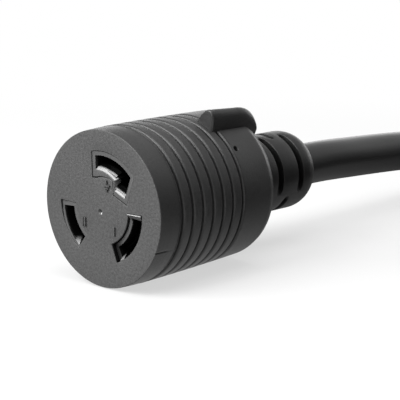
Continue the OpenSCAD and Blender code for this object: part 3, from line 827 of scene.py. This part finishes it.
def columns():
    """Azimuths of the body's columns: even ones, and closer ones at the pin hole and the mould line."""
    hole = PIN_HOLE_AT + np.degrees(both_sides(PATCH) / barrel(PIN_HOLE_X))
    seam = SEAM_AT + np.degrees(both_sides(np.array([0, 0.1, 0.22, 0.34])) / BODY_RADIUS)
    even = np.arange(0, 360, 2.0)
    even = even[(np.abs(even - PIN_HOLE_AT) > 5) & (np.abs(even - SEAM_AT) > 1.2)]
    return np.sort(np.concatenate([even, hole, seam]))


COLUMNS = columns()


def outer_skin(droop):
    """The moulding's outer surface: x, r and azimuth on a grid, with the hole, mould line and slits sunk.

    Near the hole the grid's squares are pulled into circles: each point moves towards the hole's middle
    until its distance equals the larger of its two offsets.
    """
    body = body_profile()
    x, a = np.broadcast_arrays(body[:, 0, None], COLUMNS[None])
    r = np.broadcast_to(body[:, 1, None], x.shape)
    along = x - PIN_HOLE_X
    around = np.radians(a - PIN_HOLE_AT) * barrel(PIN_HOLE_X)
    square = np.maximum(np.abs(along), np.abs(around))
    distance = np.hypot(along, around)
    near = (square < PATCH[-1]) & (distance > 0)
    share = np.where(near, 1 - smooth_step(PATCH[-2], PATCH[-1], square), 0)
    pull = 1 + share * (square / np.where(distance > 0, distance, 1) - 1)
    x = PIN_HOLE_X + along * np.where(near, pull, 1)
    a = np.where(near, PIN_HOLE_AT + np.degrees(around * pull / barrel(PIN_HOLE_X)), a)
    lip = np.where(square < PIN_HOLE_RADIUS + 0.05, PIN_HOLE_LIP, 0)
    sunk = np.where(square < PIN_HOLE_RADIUS - 0.05, PIN_HOLE_DEPTH, lip)
    from_seam = np.abs(np.radians(a - SEAM_AT)) * BODY_RADIUS
    sunk = sunk + SEAM_DEPTH * np.clip(1 - from_seam / SEAM_HALF, 0, 1) * (x <= SEAM_LENGTH)
    skin = on_axis(x, r - sunk, a)
    along, radius = neck_rows(COLUMNS)
    neck_skin = droop_neck(on_axis(BODY_LENGTH + along, radius, COLUMNS[None]), droop)
    return np.concatenate([skin, neck_skin])


def inner_skin(seat_end, droop):
    """The moulding's inner surface, from the mouth of the neck forward to the seat of the carrier."""
    bore = CABLE_R + 0.05
    chamber = CARRIER_RADIUS - 1
    seat = CARRIER_RADIUS + CARRIER_GAP
    neck = on_axis(np.array([[CONNECTOR_LENGTH], [BODY_LENGTH - CHAMBER_WALL]]), bore, COLUMNS[None])
    rows = np.array([
        (CHAMBER_END, CABLE_R + 2.5), (CHAMBER_STRAIGHT, chamber), (seat_end, chamber), (seat_end, seat),
    ])
    body = on_axis(rows[:, 0, None], rows[:, 1, None], COLUMNS[None])
    return np.concatenate([droop_neck(neck, droop), body])


RIB_EDGE = 0.7
RIB_SIDE_ROWS = 8
NOTCH_X = 1.9
NOTCH_DEPTH = 0.45
NOTCH_LENGTH = 0.4
NOTCH_ASIDE = 0.45
NOTCH_WIDTH = 0.3


def rib(shell):
    """The thumb rib: straight sides and a half ellipse on top, z = foot + (ridge - foot) sin a.

    The ridge falls evenly to the bend and from there as a quarter ellipse to its low end behind the rim.
    Front and rear edges are rounded: near them the section shrinks as a quarter circle. A shallow notch
    behind the front edge is a bell curve both along the rib and across it.
    """
    corner = np.array([1 - c for s, c in quarter(6)])
    turn = np.array([s for s, c in quarter(24)])
    x = np.concatenate([
        RIB_START + RIB_EDGE * corner, np.linspace(RIB_START + 0.9, RIB_START + 3, 12),
        np.linspace(RIB_START + 4, RIB_BEND, 10),
        RIB_BEND + (RIB_END - RIB_BEND) * turn[1:],
    ])[:, None]
    into = np.clip(1 - (x - RIB_START) / RIB_EDGE, 0, 1)
    out = np.clip((x - RIB_END + RIB_EDGE) / RIB_EDGE, 0, 1)
    front_inset, rear_inset = (RIB_EDGE * (1 - np.sqrt(1 - t ** 2)) for t in (into, out))
    bent = np.clip((x - RIB_BEND) / (RIB_END - RIB_BEND), 0, 1)
    falling = RIB_TOP - RIB_FALL * (x - RIB_START) / (RIB_BEND - RIB_START)
    rounded = RIB_LOW + (RIB_TOP - RIB_FALL - RIB_LOW) * np.sqrt(1 - bent ** 2)
    ridge = np.where(x < RIB_BEND, falling, rounded) - front_inset
    a = np.radians(np.linspace(0, 180, 41))[None]
    side = np.linspace(RIB_UNDERSIDE, RIB_FOOT, RIB_SIDE_ROWS + 1)[:-1]
    side = np.broadcast_to(side, (len(x), RIB_SIDE_ROWS))
    upright = np.ones((1, RIB_SIDE_ROWS))
    aside = np.concatenate([upright, np.cos(a), -upright], axis=1)
    y = (RIB_HALF - front_inset - rear_inset) * aside
    z = np.concatenate([side, RIB_FOOT + (ridge - RIB_FOOT) * np.sin(a), side[:, ::-1]], axis=1)
    notch = ((x - RIB_START - NOTCH_X) / NOTCH_LENGTH) ** 2 + ((aside - NOTCH_ASIDE) / NOTCH_WIDTH) ** 2
    z = z - NOTCH_DEPTH * np.exp(-notch)
    turned = np.radians(RIB_AT)
    rings = np.stack([
        np.broadcast_to(x, z.shape), y * np.cos(turned) - z * np.sin(turned),
        y * np.sin(turned) + z * np.cos(turned),
    ], axis=-1)
    shell.grid(rings)
    shell.cap(rings[0])
    shell.cap(rings[-1])


RIM_ROUND = 0.22
GATE_SIDES = 24
GATE_RINGS = (1, 0.93, 0.85, 0.7, 0.5, 0.25)


def windows(shell):
    """The connector's face: openings with rounded rims and straight walls through the skin, and the gate.

    The gate's scar is a shallow bowl, its depth 1 - t^2 of the full one at the share t of its radius.
    """
    circle = across(BODY_RADIUS - BAND_STEP - FRONT_TAPER - FRONT_EDGE, COLUMNS)
    rims, backs = [], []
    for outline, outer, _ in SLOTS:
        levels = []
        for s, c in quarter(4):
            extra = RIM_ROUND * (1 - s)
            grow = BOSS_WALL + extra
            levels.append((RIM_ROUND * (1 - c), outline(grow, grow if outer is None else outer + extra)))
        levels.append((FACE_SKIN, levels[-1][1]))
        loft(shell, levels)
        rims.append(levels[0][1])
        backs.append(levels[-1][1])
    around = np.linspace(0, 360, GATE_SIDES, endpoint=False)
    gate = [(GATE_DEPTH * (1 - t ** 2), GATE_AT + across(GATE_RADIUS * t, around)) for t in GATE_RINGS]
    loft(shell, gate)
    shell.cap(np.column_stack([np.full(GATE_SIDES, gate[-1][0]), gate[-1][1]]), flat=False)
    shell.plate(0, circle, rims + [gate[0][1]])
    shell.plate(FACE_SKIN, across(CARRIER_RADIUS + CARRIER_GAP, COLUMNS), backs)


MARK_HEIGHT = 0.55
MARK_SINK = 0.1
MARK_EDGE = 0.09


def raised_mark(shell, outline):
    """A small raised mark on the face: the outline with upright sides and a slightly smaller top."""
    middle = outline.mean(0)
    reach = np.linalg.norm(outline - middle, axis=1, keepdims=True)
    smaller = outline - (outline - middle) / reach * MARK_EDGE
    loft(shell, [(MARK_SINK, outline), (MARK_EDGE - MARK_HEIGHT, outline), (-MARK_HEIGHT, smaller)])
    shell.cap(np.column_stack([np.full(len(outline), -MARK_HEIGHT), smaller]))


# Each bar's middle from the sign's, its width and its height.
EARTH_SIGN = (-2.35, 7.6)
EARTH_BARS = ((0, 0.95, 0.5, 1.5), (0, 0.05, 2.6, 0.5), (0, -0.75, 1.7, 0.45), (0, -1.5, 0.8, 0.45))
UPRIGHT_BARS = ((-5.4, -5.9), (7.0, -4.8), (7.9, -4.8))
BAR_SIZE = (0.55, 2.8)


def face_marks(shell):
    """Raised marks beside the slots: an earth sign at the ground slot, one and two bars at the others."""
    corners = np.array([(-0.5, -0.5), (0.5, -0.5), (0.5, 0.5), (-0.5, 0.5)])
    for y, z, width, height in EARTH_BARS:
        raised_mark(shell, np.array(EARTH_SIGN) + (y, z) + corners * (width, height))
    for place in UPRIGHT_BARS:
        raised_mark(shell, np.array(place) + corners * BAR_SIZE)


def connector_moulding():
    """The connector's moulding, with its windows, marks and rib."""
    shell = Shell()
    cap_back = FACE_SKIN + CARRIER_LENGTH + CAP_THICKNESS
    seat = on_axis(FACE_SKIN, CARRIER_RADIUS + CARRIER_GAP, COLUMNS)[None]
    shell.grid(np.concatenate([outer_skin(DROOP), inner_skin(cap_back, DROOP), seat]))
    windows(shell)
    face_marks(shell)
    rib(shell)
    return shell


def plug_moulding():
    """The plug's moulding: the same skin and rib, with a straight neck and its seat open to the front."""
    shell = Shell()
    seat = on_axis(0.0, CARRIER_RADIUS + CARRIER_GAP, COLUMNS)[None]
    outer = outer_skin(0)
    shell.grid(np.concatenate([outer, inner_skin(BLADE_CARRIER_LENGTH, 0), seat, outer[:1]]))
    rib(shell)
    return shell


CONNECTOR_PLACE = np.array([FACE_X, 0, AXIS_Z])
PLUG_PLACE = PLUG_NECK_END - [CONNECTOR_LENGTH, 0, 0]

body = connector_moulding().piece("connector_moulding", CONNECTOR_PLACE, PVC, "moulded_pvc")
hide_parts("connector_body")
plug = plug_moulding().piece("plug_moulding", PLUG_PLACE, PLUG_PVC, "moulded_pvc", mirrored=True)
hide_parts("plug_body")


# ---- contact carrier

X_LIP = 1.4
X_DROP = 0.6
X_TIGHTER = 0.06
Y_DROP = 0.4
BOSS_EDGE = 0.12
OUTER_EDGE = 0.3


def contact_carrier():
    """The nylon carrier: a drum whose three bosses stand in the windows, each with its slot and pocket.

    A boss's edges are quarter circles, narrower at the outer wall. The X boss rises in a lip at its upper
    end and drops towards the lower one, and the Y boss's outer wall drops towards its upper end.
    """
    shell = Shell()
    back = FACE_SKIN + CARRIER_LENGTH
    rim = across(CARRIER_RADIUS, COLUMNS)
    fronts, backs = [], []
    wall = BOSS_WALL - BOSS_GAP
    for outline, outer, sink in SLOTS:
        outer_wall = wall if outer is None else outer - BOSS_GAP
        slot_outer = 0 if outer is None else -X_TIGHTER
        lift = np.zeros(len(outline(0, 0)))
        if outline is slot_y:
            lift[ARC_STEPS // 2:ARC_STEPS] = -Y_DROP * np.linspace(0, 1, ARC_STEPS // 2)
        if outer is not None:
            lift[[0, -1]] = X_LIP
            lift[[1, -2]] = X_LIP / 2
            drop = X_DROP * np.linspace(-1, 1, ARC_STEPS).clip(0) ** 2
            lift -= np.concatenate([drop, drop[::-1]])
        inner_lift = np.where(lift > 0, lift / 2, lift * (outline is not slot_y))
        edge = [(BOSS_EDGE * (1 - s), BOSS_EDGE * (1 - c)) for s, c in quarter(3)]
        pocket = outline(POCKET_ROOM, POCKET_ROOM)
        levels = [
            (FACE_SKIN, outline(wall, outer_wall)),
            *((sink - lift + down, outline(wall - inset, outer_wall - OUTER_EDGE * inset))
              for down, inset in edge),
            *((sink - inner_lift + down, outline(inset, slot_outer + OUTER_EDGE * inset))
              for down, inset in edge[::-1]),
            (FACE_SKIN + POCKET_FRONT, outline(0, slot_outer)),
            (FACE_SKIN + POCKET_FRONT, pocket),
            (back, pocket),
        ]
        loft(shell, levels)
        fronts.append(levels[0][1])
        backs.append(pocket)
    shell.plate(FACE_SKIN, rim, fronts)
    shell.plate(back, rim, backs)
    loft(shell, [(FACE_SKIN, rim), (back, rim)])
    return shell


carrier = contact_carrier().piece("slot_carrier", CONNECTOR_PLACE, CARRIER, "carrier_nylon")
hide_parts("contact_carrier")


# Depths behind the face, and distances outwards from the slot's wall.
LIP_SECTION = (
    (0.34, 0.15), (0.3, 0.0), (0.36, -0.15), (0.6, -0.55), (1.1, -1.0), (1.9, -1.65), (3.0, -1.8),
    (3.0, 0.15),
)


def contact_lips(outline, *stretches):
    """A contact's flared lips: the lip's section carried along stretches of a slot's wall."""
    shell = Shell()
    for first, last in stretches:
        rows = []
        for depth, off in LIP_SECTION:
            wall = outline(off, off)[first:last]
            rows.append(np.column_stack([np.full(len(wall), depth), wall]))
        rings = np.array(rows).transpose(1, 0, 2)
        shell.grid(rings)
        shell.cap(rings[0])
        shell.cap(rings[-1])
    return shell


# The ground contact's lips show at the hook and along the inner arc, the others' at their lower ends.
lips_g = contact_lips(slot_g, (ARC_STEPS, ARC_STEPS + 2), (ARC_STEPS + 2, 2 * ARC_STEPS + 2))
lips_g.piece("ground_contact_lips", CONNECTOR_PLACE, NICKEL_G, "brass")
lip_x = contact_lips(slot_x, (ARC_STEPS - 3, ARC_STEPS))
lip_x.piece("line_contact_lip_x", CONNECTOR_PLACE, NICKEL_G, "brass")
lip_y = contact_lips(slot_y, (0, 4))
lip_y.piece("line_contact_lip_y", CONNECTOR_PLACE, NICKEL_Y, "brass")


# ---- finishes of the pieces kept from the frame

FINISHES = {
    "carrier_cap": CARRIER, "blade_carrier": CARRIER,
    "contact_g": NICKEL_G, "contact_x": NICKEL_X, "contact_y": NICKEL_Y,
    "blade_g": BRASS, "blade_x": BRASS, "blade_y": BRASS,
    "connector_strands": COPPER, "plug_strands": COPPER,
    "connector_wire_g": WIRE_GREEN, "plug_wire_g": WIRE_GREEN,
    "connector_wire_x": WIRE_BLACK, "plug_wire_x": WIRE_BLACK,
    "connector_wire_y": WIRE_WHITE, "plug_wire_y": WIRE_WHITE,
    "connector_jacket_end": JACKET, "plug_jacket_end": JACKET,
}
for name, finish in FINISHES.items():
    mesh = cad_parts[name].data
    mesh.materials.clear()
    mesh.materials.append(finish)

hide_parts("cord_lead", "cord_coil", "cord_tail")


# ---- floor and light

FLOOR_HALF = 3.0
FLOOR_GLOW = 0.6
NEAR_GLOW = 0.7
FAR_SHARE = 0.3
DIM_GLOW = 0.12
FRONT_GLOW = 1.2
FAR_TOWARDS = (0.7, 0.71, 0.0)


def stage_floor():
    """A wide pale floor. The camera sees it bright, with the object's shadow kept.

    In reflections it is a plain glow: middling below the object, bright in front of its face, dim at its
    right and dimmer behind its cable. Places on it are in metres.
    """
    mesh = bpy.data.meshes.new("floor")
    corners = FLOOR_HALF * np.array([(-1, -1, 0), (1, -1, 0), (1, 1, 0), (-1, 1, 0)])
    mesh.from_pydata(corners.tolist(), [], [(0, 1, 2, 3)])
    material, add, output = new_material("painted_board")
    path = add("ShaderNodeLightPath")
    place = add(COORDS)
    sides = add(SPLIT, {0: (place, "Object")})
    near = add(RANGE, {"Value": (sides, "Y"), "From": (-0.08, -0.035), "To": (DIM_GLOW, NEAR_GLOW)})
    rear = add(RANGE, {"Value": (sides, "X"), "From": (-0.015, 0.03), "To": (1.0, 0.5)})
    near = add(MATH, {0: (near, 0), 1: (rear, 0)}, operation="MULTIPLY")
    aside = add(RANGE, {"Value": (sides, "Y"), "From": (-0.06, -0.09), "To Max": FRONT_GLOW})
    ahead = add(RANGE, {"Value": (sides, "X"), "From": (0.025, -0.005)})
    front = add(MATH, {0: (aside, 0), 1: (ahead, 0)}, operation="MULTIPLY")
    near = add(MATH, {0: (near, 0), 1: (front, 0)}, operation="ADD")
    behind = add(VECTOR, {0: (place, "Object"), 1: FAR_TOWARDS}, operation="DOT_PRODUCT")
    far = add(RANGE, {"Value": (behind, "Value"), "From": (0.04, 0.1), "To": (1.0, FAR_SHARE)})
    glow = add(MATH, {0: (near, 0), 1: (far, 0)}, operation="MULTIPLY")
    mirrored = add("ShaderNodeEmission", {"Strength": (glow, 0)})
    colour = add(MIX, {"Factor": (path, "Is Camera Ray"), 6: "#9a9a9a", 7: "#c0c0c0"}, data_type="RGBA")
    away = add(VECTOR, {0: (place, "Object")}, operation="LENGTH")
    share = add(RANGE, {
        "Value": (away, "Value"), "From": (0.18, 0.36), "To": (FLOOR_GLOW, 1.0)},
        interpolation_type="SMOOTHSTEP")
    seen = add(MATH, {0: (path, "Is Camera Ray"), 1: (share, 0)}, operation="MULTIPLY")
    board = add("ShaderNodeBsdfDiffuse", {"Color": (colour, 2)})
    bright = add("ShaderNodeEmission")
    both = add("ShaderNodeMixShader", {0: (seen, 0), 1: (board, 0), 2: (bright, 0)})
    whole = add("ShaderNodeMixShader", {0: (path, "Is Glossy Ray"), 1: (both, 0), 2: (mirrored, 0)})
    link((whole, 0), output, 0)
    mesh.materials.append(material)
    new_object("floor", mesh)


def soft_light(name, place, target, size, power):
    """A large rectangular area light at place, in metres, facing target. Its power is in watts."""
    data = bpy.data.lights.new(name, "AREA")
    data.shape = "RECTANGLE"
    data.size, data.size_y = size
    data.energy = power
    aim(new_object(name, data), place, np.subtract(target, place))


WINDOW_TOWARDS = (0.9, 0.38, 0.2)
WINDOW_BRIGHT = 2.3
ROOM_DIM = 0.1
CEILING = 0.55


def studio_world():
    """A dim room with a paler ceiling and a bright wall far behind the object. The camera sees it white."""
    world = bpy.data.worlds.new("room")
    bpy.context.scene.world = world
    world.use_nodes = True
    world.node_tree.nodes.clear()
    add = adder(world.node_tree)
    output = add("ShaderNodeOutputWorld")
    path = add("ShaderNodeLightPath")
    direction = add(COORDS)
    facing = add(VECTOR, {0: (direction, "Generated"), 1: WINDOW_TOWARDS}, operation="DOT_PRODUCT")
    window = add(RANGE, {
        "Value": (facing, "Value"), "From": (0.8, 0.88), "To Max": WINDOW_BRIGHT},
        interpolation_type="SMOOTHSTEP")
    height = add(SPLIT, {0: (direction, "Generated")})
    low = add(RANGE, {"Value": (height, "Z"), "From": (0.45, 0.15)}, interpolation_type="SMOOTHSTEP")
    window = add(MATH, {0: (window, 0), 1: (low, 0)}, operation="MULTIPLY")
    ceiling = add(RANGE, {
        "Value": (height, "Z"), "From": (0.1, 0.5), "To": (ROOM_DIM, CEILING)},
        interpolation_type="SMOOTHSTEP")
    strength = add(MATH, {0: (window, 0), 1: (ceiling, 0)}, operation="ADD")
    room = add("ShaderNodeBackground", {"Color": (1, 1, 1, 1), "Strength": (strength, 0)})
    white = add("ShaderNodeBackground", {"Color": (1, 1, 1, 1)})
    both = add("ShaderNodeMixShader", {0: (path, "Is Camera Ray"), 1: (room, 0), 2: (white, 0)})
    link((both, 0), output, 0)


stage_floor()
studio_world()
soft_light("key", (-0.75, 0.28, 0.62), (-0.02, 0.0, 0.02), size=(0.8, 0.8), power=21.5)
soft_light("overhead", (-0.05, -0.2, 0.9), (0.0, 0.0, 0.02), size=(0.8, 0.6), power=6.0)
